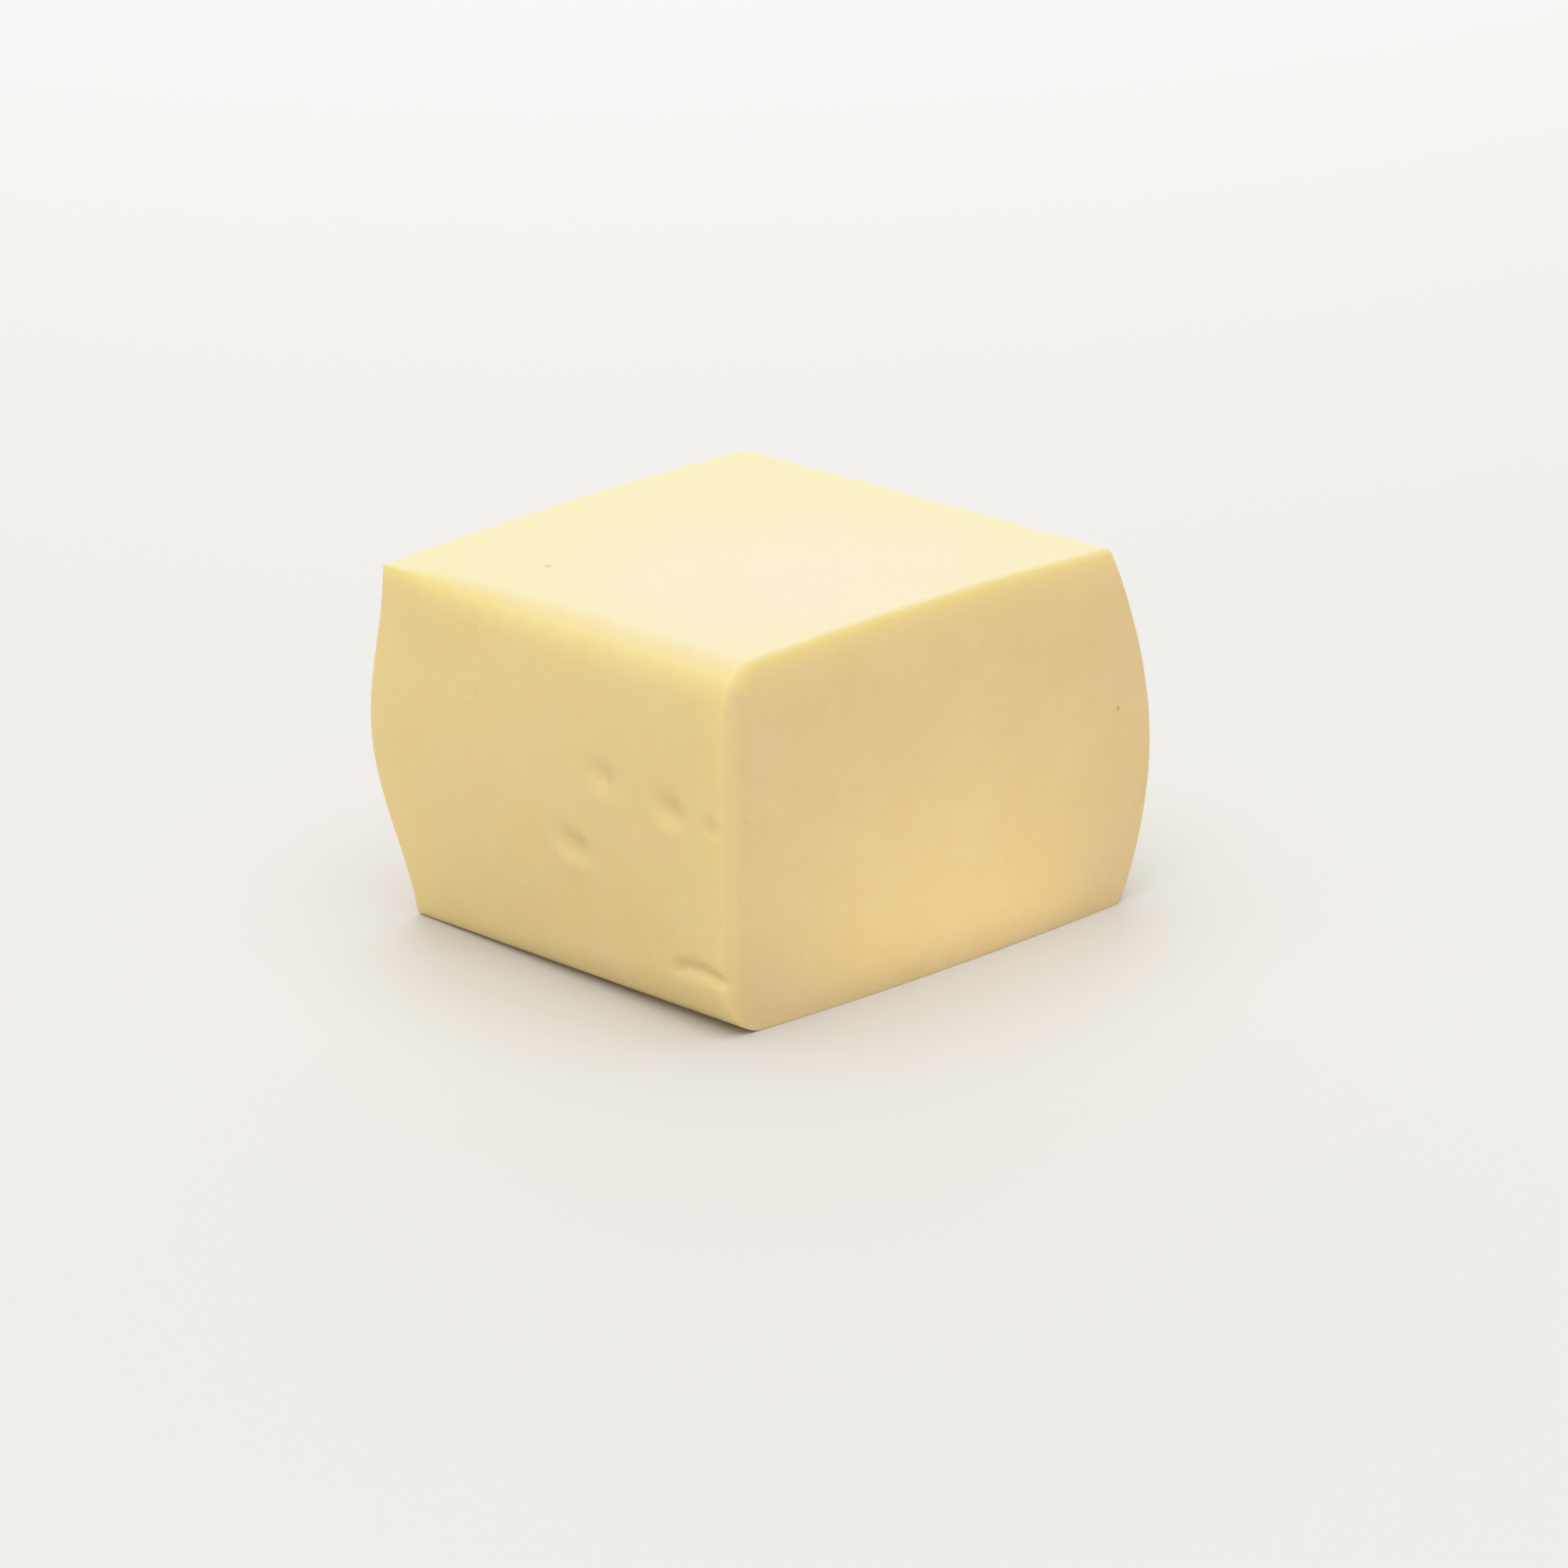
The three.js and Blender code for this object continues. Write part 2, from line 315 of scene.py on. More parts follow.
class Block:
    """The plain block's sizes, and the moves that carry its points to the real block's surface."""

    def __init__(self, shape):
        self.shape = shape
        self.low = Vector((-shape.width / 2, -shape.length / 2, 0.0))
        self.high = Vector((shape.width / 2, shape.length / 2, shape.height))
        self.pits = self.pit_places()

    def share(self, point):
        return [
            (point[axis] - self.low[axis]) / (self.high[axis] - self.low[axis]) for axis in range(3)
        ]

    def grid(self, bm):
        edges = (SHARP_RADIUS, SKIN_CUT_RADIUS[0], SHARP_RADIUS)
        axes = [
            grid_lines(low, high, edge, self.shape.cell)
            for low, high, edge in zip(self.low, self.high, edges)
        ]
        grid_block(bm, axes)

    def pit_places(self):
        """The pits that show, and some on each hidden wall, as points of the plain block."""
        dice = random.Random(PIT_SEED)
        pits = list(SHOWN_PITS)
        for axis, end in HIDDEN_WALLS:
            others = [other for other in range(3) if other != axis]
            for _ in range(PITS_ON_A_HIDDEN_WALL):
                shares = [dice.uniform(PIT_EDGE_MARGIN, 1 - PIT_EDGE_MARGIN) for _ in others]
                place = [
                    lerp(self.low[other], self.high[other], share)
                    for other, share in zip(others, shares)
                ]
                radius = dice.uniform(*HIDDEN_PIT_RADIUS)
                pits.append(Pit(axis, end, place, radius, dice.uniform(*HIDDEN_PIT_DEPTH)))
        return [(self.wall_point(pit), pit) for pit in pits]

    def wall_point(self, pit):
        point = list(pit.place)
        point.insert(pit.axis, (self.low, self.high)[pit.end][pit.axis])
        return Vector(point)

    def refine_pits(self, bm):
        """Cuts the grid finer where pits are to be sunk, all at once, so that no patch is cut twice."""
        near = [edge for face in bm.faces if self.near_pit(face) for edge in face.edges]
        edges = list(dict.fromkeys(near))
        bmesh.ops.subdivide_edges(bm, edges=edges, cuts=PIT_CUTS, use_grid_fill=True)

    def near_pit(self, face):
        middle = face.calc_center_median()
        return any(
            (middle - centre).length < PIT_PATCH * pit.radius + self.shape.cell
            for centre, pit in self.pits
        )

    def round_edge(self, point, side_x, side_z, width, height):
        """Rounds one long edge: inside the corner's rectangle, square rings become oval ones.

        A side is -1 at the low end of its axis and 1 at the high one.
        """
        corner_x = self.low.x if side_x < 0 else self.high.x
        corner_z = self.low.z if side_z < 0 else self.high.z
        u = 1 - abs(point.x - corner_x) / width
        v = 1 - abs(point.z - corner_z) / height
        if u <= 0 or v <= 0:
            return
        shrink = max(u, v) / math.hypot(u, v)
        point.x = corner_x - side_x * width * (1 - u * shrink)
        point.z = corner_z - side_z * height * (1 - v * shrink)

    def round_long_edges(self, point):
        along = self.share(point)[Y_AXIS]
        fade = along ** TOP_FADE
        self.round_edge(point, -1, 1, lerp(*SKIN_TOP_WIDTH, fade), lerp(*SKIN_TOP_HEIGHT, fade))
        self.round_edge(point, -1, -1, lerp(*TUCK_WIDTH, along), lerp(*TUCK_HEIGHT, along))
        self.round_edge(point, 1, 1, SHARP_RADIUS, SHARP_RADIUS)
        self.round_edge(point, 1, -1, SHARP_RADIUS, SHARP_RADIUS)

    def round_cut_edges(self, point):
        """Rounds the edges beside and above the two cuts by drawing the section in as it nears them."""
        across, along, up = self.share(point)
        distance = min(along, 1 - along) * self.shape.length
        end = 0 if along < 0.5 else 1
        edge = draw_in(CUT_RADIUS, distance)
        top_edge = draw_in(CUT_TOP_RADIUS[end], distance)
        skin_edge = draw_in(SKIN_CUT_RADIUS[end], distance)
        point.x += lerp(skin_edge * min(up / SHARP_FOOT, 1.0), -edge, across)
        point.z -= up * top_edge

    def slump(self, point):
        """Carries a point of the plain block to the slumped one. The base stays flat."""
        across, along, up = self.share(point)
        crown_x = lerp(CROWN_FRONT, CROWN_BACK, along) * arch(2 * across - 1)
        crown_y = lerp(CROWN_LEFT, CROWN_RIGHT, across) * arch(2 * along - 1)
        rise = lerp(lerp(*FRONT_RISE, across), lerp(*BACK_RISE, across), along)
        front_reach = FRONT_WALL.reach(across, up) - self.dish_depth(point.x, point.z)
        point.x += lerp(-LEFT_WALL.reach(along, up), RIGHT_WALL.reach(along, up), across)
        point.y += lerp(-front_reach, BACK_WALL.reach(across, up), along)
        point.z += up * (crown_x + crown_y + rise)

    def dish_depth(self, x, z):
        place_x, place_z = DISH_PLACE
        across = (x - place_x) / DISH_HALF_WIDTH
        return self.shape.dish_depth * hollow(math.hypot(across, (z - place_z) / DISH_HALF_HEIGHT))

    def dimple_depth(self, side, y, z):
        cos, sin = math.cos(DIMPLE_SLANT), math.sin(DIMPLE_SLANT)
        depth = 0.0
        for dimple in DIMPLES:
            if dimple.side != side:
                continue
            to_front = dimple.y - y
            above = z - dimple.z
            along = (to_front * cos + above * sin) / DIMPLE_HALF_LENGTH
            across = (above * cos - to_front * sin) / DIMPLE_HALF_HEIGHT
            lip = DIMPLE_LIP_SHARE * hollow(math.hypot(along, across + DIMPLE_LIP_DROP))
            depth += dimple.share * (hollow(math.hypot(along, across)) - lip)
        return self.shape.dimple_depth * depth

    def crease_depth(self, y, z):
        run = (CREASE_START - y) / (CREASE_START - self.low.y)
        line = lerp(*CREASE_Z, run) + CREASE_ARCH * max(arch(2 * run - 1), 0.0)
        strength = smooth_step(CREASE_START - y, 0.0, CREASE_FADE)
        groove = self.shape.crease_depth * hollow((z - line) / CREASE_HALF_HEIGHT)
        lip = self.shape.lip_swell * hollow((z - line + LIP_DROP) / LIP_HALF_HEIGHT)
        return strength * (groove - lip * smooth_step(y - self.low.y, 0.0, LIP_FADE))

    def mark_shift(self, point):
        """How far along x the dimples and the crease push a point of the plain block."""
        _, y, z = point
        near_skin = 1 - (point.x - self.low.x) / MARK_REACH
        if near_skin > 0:
            return near_skin * (self.dimple_depth(SKIN_SIDE, y, z) + self.crease_depth(y, z))
        near_far_side = 1 - (self.high.x - point.x) / MARK_REACH
        if near_far_side > 0:
            return -near_far_side * self.dimple_depth(FAR_SIDE, y, z)
        return 0.0

    def pit_depth_and_shade(self, point):
        depth = 0.0
        shade = 0.0
        for centre, pit in self.pits:
            sunk = 1 - smooth_step((point - centre).length / pit.radius, *PIT_SLOPE)
            depth += pit.depth * sunk
            shade += pit.shade * sunk
        return depth, shade

    def unevenness(self, point):
        """Slow waves and finer ripples over the walls and the top, with none at the base."""
        wave = noise.noise(point / WAVE_LENGTH)
        ripple = noise.noise(point / RIPPLE_LENGTH)
        strength = self.shape.unevenness * smooth_step(point.z, 0.0, WAVE_FREE_HEIGHT)
        return strength * (wave + RIPPLE_SHARE * ripple)

    def rim(self, point):
        """Nearness to the top's edges, and a little to the skin's, and nothing well inside a face: where
        painted light lies along the edges.
        """
        to_sides, to_cuts = (
            min(point[axis] - self.low[axis], self.high[axis] - point[axis]) for axis in (X_AXIS, Y_AXIS)
        )
        to_top_edge = max(self.high.z - point.z, min(to_sides, to_cuts))
        skin = hollow((point.x - self.low.x) / SKIN_EDGE_LIGHT_REACH)
        skin_edge_light = SKIN_EDGE_LIGHT_SHARE * skin * math.exp(-to_cuts / SKIN_EDGE_LIGHT_WIDTH)
        return max(math.exp(-to_top_edge / self.shape.edge_light_width), skin_edge_light)

    def carry(self, bm):
        """Carries the whole grid to the real block's surface and keeps what the finish needs."""
        edge_light_layer = bm.verts.layers.float.new("rim")
        heart_layer = bm.verts.layers.float.new("heart")
        pit_shade_layer = bm.verts.layers.float.new("pit")
        cut_layer = bm.verts.layers.float.new("cut")
        top_sheen_layer = bm.verts.layers.float.new("top")
        relief_layer = bm.verts.layers.float.new("relief")
        for vert in bm.verts:
            point = vert.co.copy()
            vert[edge_light_layer] = self.rim(point)
            vert[heart_layer] = hollow((point.xy - Vector(HEART)).length / HEART_RADIUS)
            depth, vert[pit_shade_layer] = self.pit_depth_and_shade(point)
            vert[relief_layer] = self.unevenness(point) - depth
            shift = self.mark_shift(point)
            self.round_long_edges(vert.co)
            self.round_cut_edges(vert.co)
            self.slump(vert.co)
            vert.co.x += shift
        bm.normal_update()
        normals = [vert.normal.copy() for vert in bm.verts]
        for vert, normal in zip(bm.verts, normals):
            vert[cut_layer] = smooth_step(abs(normal.y), *FACING)
            # How far a surface faces up: the mask of the top's painted sheen, which also weakens the
            # painted edge light there.
            vert[top_sheen_layer] = smooth_step(normal.z, *FACING)
            vert.co += normal * vert[relief_layer]
        bm.verts.layers.float.remove(relief_layer)


def draw_in(radius, distance):
    """How far a rounded edge has drawn in at a distance short of the face that it meets."""
    short = max(radius - distance, 0.0)
    return radius - math.sqrt(radius * radius - short * short)


def settle(bm, node):
    """Sets the mesh on the floor, with its middle at that of the solid that it stands for."""
    low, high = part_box(node)
    corners = [
        Vector(pick(vert.co[axis] for vert in bm.verts) for axis in range(3)) for pick in (min, max)
    ]
    middle = (low + high) / 2 - (corners[0] + corners[1]) / 2
    bmesh.ops.translate(bm, verts=bm.verts[:], vec=(middle.x, middle.y, low.z - corners[0].z))


def finished_piece(bm, name, material):
    mesh = bpy.data.meshes.new(name)
    bm.to_mesh(mesh)
    bm.free()
    mesh.shade_smooth()
    mesh.materials.append(material)
    piece = bpy.data.objects.new(name, mesh)
    bpy.context.scene.collection.objects.link(piece)
    return piece


# Finish of the cheese

class Pattern(NamedTuple):
    """Soft noise: about how large its patches are, and how many finer layers lie over them."""

    size: float
    detail: float


PATCHES = Pattern(0.022, 3.0)
CURDS = Pattern(0.005, 3.0)
GRAIN = Pattern(0.0011, 2.0)
SPECKS = Pattern(0.0019, 1.0)
SPECKLED_AREAS = Pattern(0.014, 1.0)
PATTERN_ROUGHNESS = 0.55
PATTERN_MIDDLE = 0.5

# The knife drags fine upright lines down a cut: their pattern, and how far it is drawn out.
DRAG_LINES = Pattern(0.0022, 2.0)
DRAG_STRETCH = (1.0, 1.0, 0.05)

# Where in its noise a mark starts to show, and where it is full.
MOTTLE_BAND = (0.34, 0.66)
SPECK_BAND = (0.64, 0.78)
SPECKLED_BAND = (0.42, 0.62)

# How much of the mottling is large patches and how much small curds, and how strongly each tint lies over
# the ground colour. The painted light along the top's edges is weaker on the top itself.
PATCH_SHARE = 0.6
CURD_SHARE = 0.4
PALE_STRENGTH = 0.2
EDGE_LIGHT_STRENGTH = 0.7
EDGE_LIGHT_LOSS_ON_TOP = 0.7
SPECK_STRENGTH = 0.2

# Shares of the patterns in the bump and in the roughness, and how far a full bump stands out.
GRAIN_BUMP = 0.5
CURD_BUMP = 0.3
DRAG_BUMP = 0.35
BUMP_DISTANCE = 0.0003
PATCH_ROUGHNESS = 0.12
GRAIN_ROUGHNESS = 0.1

# How strongly the cheese bends light, and how far red, green and blue go inside it as shares of the
# light depth.
CHEESE_IOR = 1.45
SCATTER_SHARES = (1.0, 0.62, 0.26)


class Wire:
    """A shader socket that can be reckoned with: each operator adds one Math node."""

    def __init__(self, tree, socket):
        self.tree = tree
        self.socket = socket

    def reckon(self, operation, first, second):
        node = self.tree.nodes.new("ShaderNodeMath")
        node.operation = operation
        for slot, term in zip(node.inputs, (first, second)):
            feed(self.tree, slot, term)
        return Wire(self.tree, node.outputs[0])

    def __add__(self, other):
        return self.reckon("ADD", self, other)

    def __radd__(self, other):
        return self.reckon("ADD", other, self)

    def __sub__(self, other):
        return self.reckon("SUBTRACT", self, other)

    def __rsub__(self, other):
        return self.reckon("SUBTRACT", other, self)

    def __mul__(self, other):
        return self.reckon("MULTIPLY", self, other)

    def __rmul__(self, other):
        return self.reckon("MULTIPLY", other, self)


def feed(tree, slot, value):
    """Gives a socket a link or a value of its own."""
    if isinstance(value, Wire):
        tree.links.new(value.socket, slot)
    else:
        slot.default_value = value


class Finish:
    """The node tree of one material."""

    def __init__(self, name):
        self.material = bpy.data.materials.new(name)
        self.material.use_nodes = True
        self.tree = self.material.node_tree
        self.tree.nodes.clear()

    def node(self, kind, settings, sockets, output=0):
        """Adds a node: its settings first, then its sockets. Returns one of its outputs."""
        made = self.tree.nodes.new(kind)
        for name, value in settings.items():
            setattr(made, name, value)
        for name, value in sockets.items():
            slot = next(slot for slot in made.inputs if name in (slot.identifier, slot.name))
            feed(self.tree, slot, value)
        if not made.outputs:
            return None
        if isinstance(output, str):
            output = next(i for i, slot in enumerate(made.outputs) if slot.identifier == output)
        return Wire(self.tree, made.outputs[output])

    def place(self, stretch=(1.0, 1.0, 1.0)):
        """Places on the piece, stretched for a pattern that is longer one way than another."""
        plain = self.node("ShaderNodeTexCoord", {}, {}, "Object")
        return self.node("ShaderNodeMapping", {}, {"Vector": plain, "Scale": stretch})

    def clouds(self, place, pattern):
        """Soft noise from 0 to 1."""
        return self.node("ShaderNodeTexNoise", {}, {
            "Vector": place,
            "Scale": 1 / pattern.size,
            "Detail": pattern.detail,
            "Roughness": PATTERN_ROUGHNESS,
        })

    def band(self, value, low, high):
        """0 below low and 1 above high, smooth between."""
        sockets = {"Value": value, "From Min": low, "From Max": high}
        return self.node("ShaderNodeMapRange", {"interpolation_type": "SMOOTHSTEP"}, sockets)

    def tint(self, share, first, second):
        """A colour that goes from the first to the second with the share."""
        sockets = {"Factor_Float": share, "A_Color": first, "B_Color": second}
        return self.node("ShaderNodeMix", {"data_type": "RGBA"}, sockets, "Result_Color")

    def attribute(self, name):
        return self.node("ShaderNodeAttribute", {"attribute_name": name}, {}, "Fac")

    def surface(self, sockets):
        shader = self.node("ShaderNodeBsdfPrincipled", {}, sockets)
        self.node("ShaderNodeOutputMaterial", {}, {"Surface": shader})
        return self.material


def opaque(colour):
    return (*colour, 1.0)


def cheese_finish(look):
    """Pale yellow curd: mottled, finely grained and barely moist, with painted light along its top edges,
    a painted sheen on its top and painted shade in its pinholes.
    """
    finish = Finish("mozzarella")
    place = finish.place()
    patches = finish.clouds(place, PATCHES)
    curds = finish.clouds(place, CURDS)
    grain = finish.clouds(place, GRAIN)
    specks = finish.band(finish.clouds(place, SPECKS), *SPECK_BAND)
    speckled = finish.band(finish.clouds(place, SPECKLED_AREAS), *SPECKLED_BAND)
    rim = finish.attribute("rim")
    cut = finish.attribute("cut")
    top = finish.attribute("top")
    heart = finish.attribute("heart")
    pit = finish.attribute("pit")

    colour = finish.tint(cut, opaque(look.skin_colour), opaque(look.cut_colour))
    # The top's colour is a painted warm sheen of the light from above: paler and pinker than the sides,
    # palest in its heart.
    top_sheen_colour = finish.tint(heart, opaque(look.top_sheen_colour), opaque(look.heart_sheen_colour))
    colour = finish.tint(top, colour, top_sheen_colour)
    mottle = finish.band(PATCH_SHARE * patches + CURD_SHARE * curds, *MOTTLE_BAND)
    colour = finish.tint(PALE_STRENGTH * mottle, colour, opaque(look.pale_colour))
    # Painted light along the edges: a yellow glow where light from above comes through the top's edges,
    # and a paler strip on the skin beside the cuts.
    edge_light_tint = EDGE_LIGHT_STRENGTH * rim * (1 - EDGE_LIGHT_LOSS_ON_TOP * top)
    colour = finish.tint(edge_light_tint, colour, opaque(look.edge_light_colour))
    colour = finish.tint(SPECK_STRENGTH * specks * speckled, colour, opaque(look.speck_colour))
    # Painted shade at the bottom of the pinholes.
    colour = finish.tint(pit, colour, opaque(look.pit_shade_colour))

    drag = finish.clouds(finish.place(DRAG_STRETCH), DRAG_LINES)
    height = GRAIN_BUMP * grain + CURD_BUMP * curds + DRAG_BUMP * cut * drag
    bump = finish.node(
        "ShaderNodeBump", {}, {"Height": height, "Strength": look.grain, "Distance": BUMP_DISTANCE}
    )
    patch_change = PATCH_ROUGHNESS * (patches - PATTERN_MIDDLE)
    grain_change = GRAIN_ROUGHNESS * (grain - PATTERN_MIDDLE)
    return finish.surface({
        "Base Color": colour,
        "Roughness": look.roughness + patch_change + grain_change,
        "Normal": bump,
        "IOR": CHEESE_IOR,
        "Subsurface Weight": look.translucency,
        "Subsurface Radius": SCATTER_SHARES,
        "Subsurface Scale": look.light_depth,
    })


# Studio

# The photograph's view of the block: azimuth 0 is the front, and 90 degrees the right. The lens and
# the sensor are in millimetres.
VIEW_AZIMUTH = math.radians(-44.69)
VIEW_ELEVATION = math.radians(20.21)
VIEW_ROLL = math.radians(-0.884)
VIEW_DISTANCE = 1.4005
VIEW_AIM = Vector((0.0008, -0.0089, 0.0366))
LENS = 119.67
SENSOR = 36.0
CLIP_END = 100.0

WHITE = (1.0, 1.0, 1.0)
FLOOR_RADIUS = 20.0
FLOOR_SIDES = 96
FLOOR_ROUGHNESS = 0.7

# The overhead light is as soft as a wide patch of sky, and comes a little from the left.
SUN_ANGLE = math.radians(80)
SUN_TILT = math.radians(4)


class Softbox(NamedTuple):
    """A square light that faces the block: where it hangs, its side and its power in watts.

    Azimuth and elevation are measured as the view's are.
    """

    name: str
    azimuth: float
    elevation: float
    distance: float
    side: float
    power: float


SOFTBOXES = (
    Softbox("skin_softbox", math.radians(-70), math.radians(4), distance=1.2, side=0.7, power=2.4),
    Softbox("cut_softbox", math.radians(-14), math.radians(24), distance=1.5, side=0.9, power=1.5),
    Softbox("back_softbox", math.radians(137), math.radians(24), distance=1.6, side=1.3, power=6.0),
)


class Card(NamedTuple):
    """A bounce card on the floor, which throws a little light up at a wall. Its power is in watts."""

    name: str
    centre: tuple
    size: tuple
    power: float
    colour: tuple


CARDS = (
    Card("cut_card", (0.004, -0.127, 0.0005), (0.094, 0.095), power=0.0252, colour=(1.0, 0.84, 0.34)),
    Card("skin_card", (-0.125, 0.08, 0.0005), (0.07, 0.07), power=0.005, colour=(1.0, 0.93, 0.75)),
)


# Film response: true up to the knee, and above it the highlights ease towards white. The higher
# the power, the later they start to ease. The curve goes up to the film's white in so many points.
KNEE = 0.55
SHOULDER_POWER = 3
FILM_WHITE = 3.0
FILM_POINTS = 16


def film_response(light):
    if light <= KNEE:
        return light
    room = 1 - KNEE
    excess = (light - KNEE) / room
    return KNEE + room * excess / (1 + excess ** SHOULDER_POWER) ** (1 / SHOULDER_POWER)


def set_film(scene):
    scene.view_settings.view_transform = "Standard"
    scene.view_settings.look = "None"
    scene.view_settings.use_curve_mapping = True
    mapping = scene.view_settings.curve_mapping
    mapping.white_level = (FILM_WHITE,) * 3
    mapping.extend = "HORIZONTAL"
    _red, _green, _blue, combined = mapping.curves
    combined.points[-1].location = (1.0, film_response(FILM_WHITE))
    for step in range(1, FILM_POINTS):
        share = step / FILM_POINTS
        combined.points.new(share, film_response(share * FILM_WHITE))
    mapping.update()


def lay_floor(colour):
    bm = bmesh.new()
    bmesh.ops.create_circle(bm, cap_ends=True, segments=FLOOR_SIDES, radius=FLOOR_RADIUS)
    finish = Finish("studio_floor")
    material = finish.surface({"Base Color": opaque(colour), "Roughness": FLOOR_ROUGHNESS})
    finished_piece(bm, "studio_floor", material)


def light_sky(scene, strength, backdrop_colour):
    """Even white light from all round, and a backdrop to look at beyond the floor's far edge."""
    world = bpy.data.worlds.new("studio_sky")
    world.use_nodes = True
    tree = world.node_tree
    sky = tree.nodes["Background"]
    sky.inputs["Color"].default_value = opaque(WHITE)
    sky.inputs["Strength"].default_value = strength
    backdrop = tree.nodes.new("ShaderNodeBackground")
    backdrop.inputs["Color"].default_value = opaque(backdrop_colour)
    path = tree.nodes.new("ShaderNodeLightPath")
    mix = tree.nodes.new("ShaderNodeMixShader")
    lit_by, looked_at = mix.inputs[1:]
    tree.links.new(path.outputs["Is Camera Ray"], mix.inputs["Fac"])
    tree.links.new(sky.outputs["Background"], lit_by)
    tree.links.new(backdrop.outputs["Background"], looked_at)
    tree.links.new(mix.outputs["Shader"], tree.nodes["World Output"].inputs["Surface"])
    scene.world = world


def hang_sun(scene, strength):
    light = bpy.data.lights.new("studio_overhead", "SUN")
    light.energy = strength
    light.angle = SUN_ANGLE
    lamp = bpy.data.objects.new("studio_overhead", light)
    lamp.rotation_euler.y = -SUN_TILT
    scene.collection.objects.link(lamp)


def hang_softbox(scene, softbox, share):
    light = bpy.data.lights.new(softbox.name, "AREA")
    light.size = softbox.side
    light.energy = softbox.power * share
    lamp = bpy.data.objects.new(softbox.name, light)
    away = direction(softbox.azimuth, softbox.elevation)
    lamp.location = VIEW_AIM + softbox.distance * away
    lamp.rotation_mode = "QUATERNION"
    lamp.rotation_quaternion = away.to_track_quat("Z", "Y")
    lamp.visible_camera = False
    scene.collection.objects.link(lamp)


def lay_card(scene, card, share):
    light = bpy.data.lights.new(card.name, "AREA")
    light.shape = "RECTANGLE"
    light.size, light.size_y = card.size
    light.energy = card.power * share
    light.color = card.colour
    lamp = bpy.data.objects.new(card.name, light)
    lamp.location = card.centre
    lamp.rotation_euler.x = math.pi
    lamp.visible_camera = False
    scene.collection.objects.link(lamp)


def direction(azimuth, elevation):
    """The way out from the block: azimuth 0 is the front, and 90 degrees the right."""
    return Vector((
        math.sin(azimuth) * math.cos(elevation),
        -math.cos(azimuth) * math.cos(elevation),
        math.sin(elevation),
    ))


def place_camera(scene):
    """The photograph's view: a point on the block, the way back from it, and a slight roll."""
    back = direction(VIEW_AZIMUTH, VIEW_ELEVATION)
    level = Vector((math.cos(VIEW_AZIMUTH), math.sin(VIEW_AZIMUTH), 0.0))
    right = Matrix.Rotation(VIEW_ROLL, 3, back) @ level
    up = back.cross(right)
    data = bpy.data.cameras.new("studio_camera")
    data.lens = LENS
    data.sensor_width = SENSOR
    data.clip_end = CLIP_END
    camera = bpy.data.objects.new("studio_camera", data)
    turn = Matrix((right, up, back)).transposed().to_4x4()
    camera.matrix_world = Matrix.Translation(VIEW_AIM + VIEW_DISTANCE * back) @ turn
    scene.collection.objects.link(camera)
    scene.camera = camera


# Add-on

def length_property(name, description, default):
    return bpy.props.FloatProperty(
        name=name, description=description, default=default, min=0.0, unit="LENGTH", precision=5
    )


def colour_property(name, description, default):
    return bpy.props.FloatVectorProperty(
        name=name, description=description, default=default, min=0.0, max=1.0, size=3, subtype="COLOR"
    )


def factor_property(name, description, default):
    return bpy.props.FloatProperty(
        name=name, description=description, default=default, min=0.0, max=1.0, subtype="FACTOR"
    )


def strength_property(name, description, default):
    return bpy.props.FloatProperty(name=name, description=description, default=default, min=0.0)


class MozzarellaShape(bpy.types.PropertyGroup):
    """Sizes of the block and of the marks in it."""

    width: length_property("Width", "Plain block from the skin to the far side", 0.138)
    length: length_property("Length", "Plain block from the front cut to the back cut", 0.132)
    height: length_property("Height", "Plain block from base to top", 0.1)
    cell: length_property("Grid cell", "Spacing of the surface grid", 0.00125)
    dimple_depth: length_property("Dimple depth", "Depth of the deepest dimple in the skin", 0.0028)
    crease_depth: length_property("Crease depth", "Depth of the crease low on the skin", 0.0021)
    dish_depth: length_property("Dish depth", "Depth of the dish in the front cut", 0.0015)
    lip_swell: length_property("Lip swell", "Rise of the lip under the crease", 0.0004)
    unevenness: length_property("Unevenness", "Height of the slow waves in the walls", 0.0003)
    # The yellower band is painted light along the top's edges.
    edge_light_width: length_property("Rim width", "Width of the yellower band along the top's edges", 0.005)


class MozzarellaLook(bpy.types.PropertyGroup):
    """Colours and surface of the cheese."""

    skin_colour: colour_property("Skin", "Colour of the moulded skin", (0.762, 0.591, 0.26))
    cut_colour: colour_property("Cut", "Colour of the cut faces", (0.75, 0.564, 0.281))
    # The top's two colours hold a painted warm sheen of the light from above.
    top_sheen_colour: colour_property("Top", "Colour of the top's outer parts", (0.86, 0.575, 0.285))
    heart_sheen_colour: colour_property("Heart", "Colour of the top's middle", (0.86, 0.58, 0.378))
    pale_colour: colour_property("Pale curd", "Colour of the paler patches", (0.85, 0.7, 0.45))
    # The colour of the painted light along the edges.
    edge_light_colour: colour_property("Rim", "Colour along the top's edges", (0.95, 0.74, 0.275))
    speck_colour: colour_property("Specks", "Colour of the fine specks", (0.6, 0.42, 0.17))
    # The colour of the pinholes' painted shade.
    pit_shade_colour: colour_property("Pits", "Colour at the bottom of a pinhole", (0.25, 0.33, 0.2))
    roughness: factor_property("Roughness", "Roughness of the surface", 0.46)
    grain: factor_property("Grain", "Strength of the fine grain", 0.32)
    translucency: factor_property("Translucency", "Share of light that scatters inside", 0.4)
    light_depth: length_property("Light depth", "How far light travels inside", 0.002)


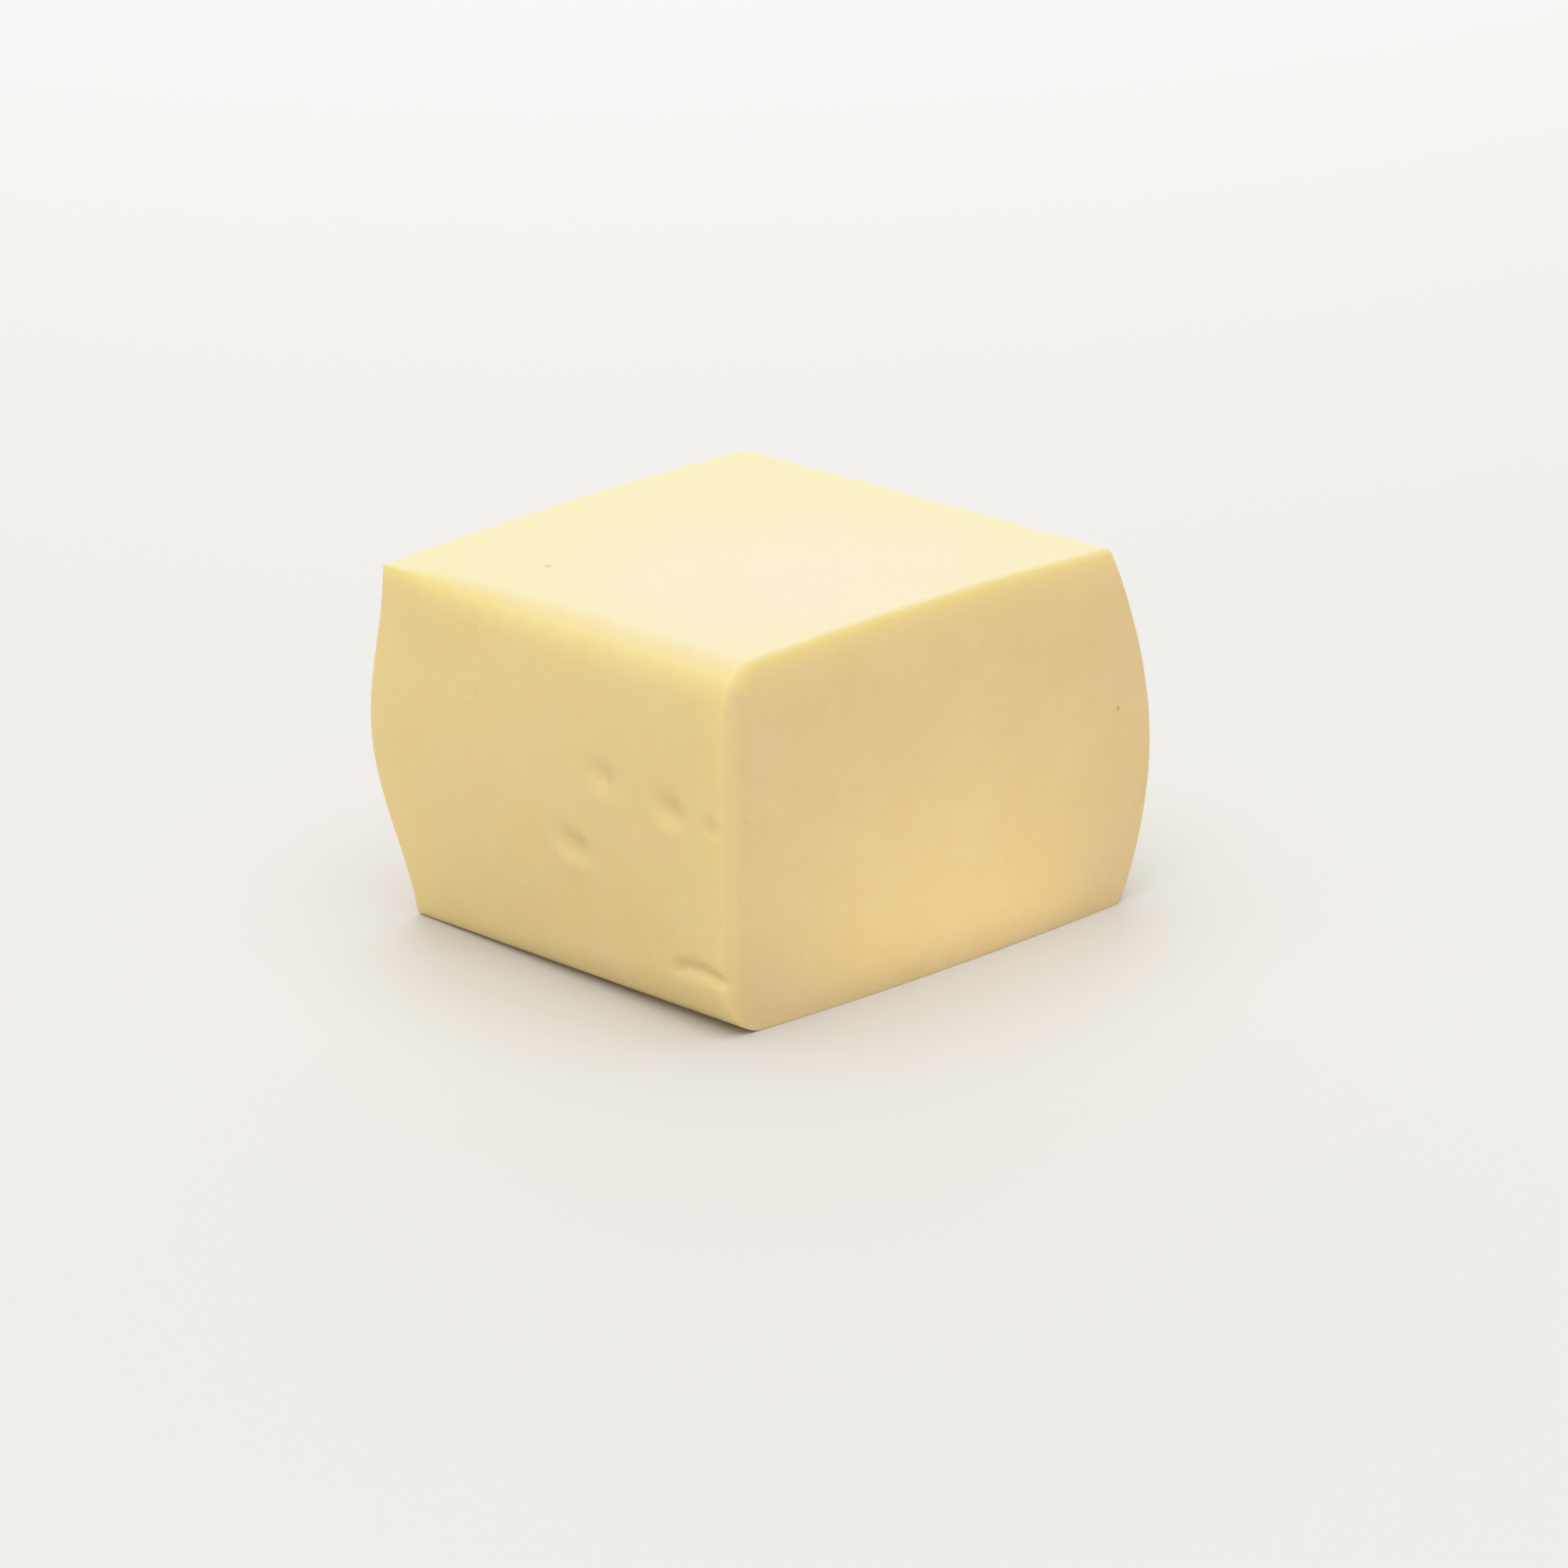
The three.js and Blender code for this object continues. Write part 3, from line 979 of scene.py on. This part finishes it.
class MozzarellaStudio(bpy.types.PropertyGroup):
    """Floor and light of the studio."""

    floor_colour: colour_property("Floor", "Colour of the floor", (0.62, 0.6, 0.57))
    backdrop_colour: colour_property("Backdrop", "Colour beyond the floor's far edge", (0.79, 0.78, 0.755))
    sky_strength: strength_property("Sky", "Strength of the even light from all round", 0.4)
    sun_strength: strength_property("Overhead", "Strength of the wide light from above", 2.9)
    softbox_share: factor_property("Softboxes", "Share of the power of softboxes and cards", 1.0)


class MOZZARELLA_OT_block(bpy.types.Operator):
    """Build the cheese block over the solid that it stands for"""

    bl_idname = "mozzarella.block"
    bl_label = "Build Block"
    bl_options = {"REGISTER", "UNDO"}

    def execute(self, context):
        block = Block(context.scene.mozzarella_shape)
        bm = bmesh.new()
        block.grid(bm)
        block.refine_pits(bm)
        block.carry(bm)
        settle(bm, NODE)
        piece = finished_piece(bm, PIECE, cheese_finish(context.scene.mozzarella_look))
        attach(piece, "root")
        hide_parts(NODE)
        return {"FINISHED"}


class MOZZARELLA_OT_studio(bpy.types.Operator):
    """Set up the floor, the light, the film and the camera"""

    bl_idname = "mozzarella.studio"
    bl_label = "Set Up Studio"
    bl_options = {"REGISTER", "UNDO"}

    def execute(self, context):
        scene = context.scene
        studio = scene.mozzarella_studio
        place_camera(scene)
        lay_floor(studio.floor_colour)
        light_sky(scene, studio.sky_strength, studio.backdrop_colour)
        hang_sun(scene, studio.sun_strength)
        for softbox in SOFTBOXES:
            hang_softbox(scene, softbox, studio.softbox_share)
        for card in CARDS:
            lay_card(scene, card, studio.softbox_share)
        set_film(scene)
        return {"FINISHED"}


class MOZZARELLA_PT_sidebar(bpy.types.Panel):
    """Sizes, colours and builders of the mozzarella block"""

    bl_idname = "MOZZARELLA_PT_sidebar"
    bl_label = "Mozzarella Block"
    bl_space_type = "VIEW_3D"
    bl_region_type = "UI"
    bl_category = "Mozzarella"

    def draw(self, context):
        for name in SETTINGS:
            box = self.layout.box()
            group = getattr(context.scene, name)
            for prop in group.__annotations__:
                box.prop(group, prop)
        for operator in OPERATORS:
            self.layout.operator(operator.bl_idname)


SETTINGS = {
    "mozzarella_shape": MozzarellaShape,
    "mozzarella_look": MozzarellaLook,
    "mozzarella_studio": MozzarellaStudio,
}
OPERATORS = (MOZZARELLA_OT_studio, MOZZARELLA_OT_block)
CLASSES = (*SETTINGS.values(), *OPERATORS, MOZZARELLA_PT_sidebar)


def register():
    for cls in CLASSES:
        bpy.utils.register_class(cls)
    for name, group in SETTINGS.items():
        setattr(bpy.types.Scene, name, bpy.props.PointerProperty(type=group))


def unregister():
    for name in SETTINGS:
        delattr(bpy.types.Scene, name)
    for cls in reversed(CLASSES):
        bpy.utils.unregister_class(cls)


def main():
    register()
    bpy.ops.mozzarella.studio()
    bpy.ops.mozzarella.block()


if __name__ == "__main__":
    main()
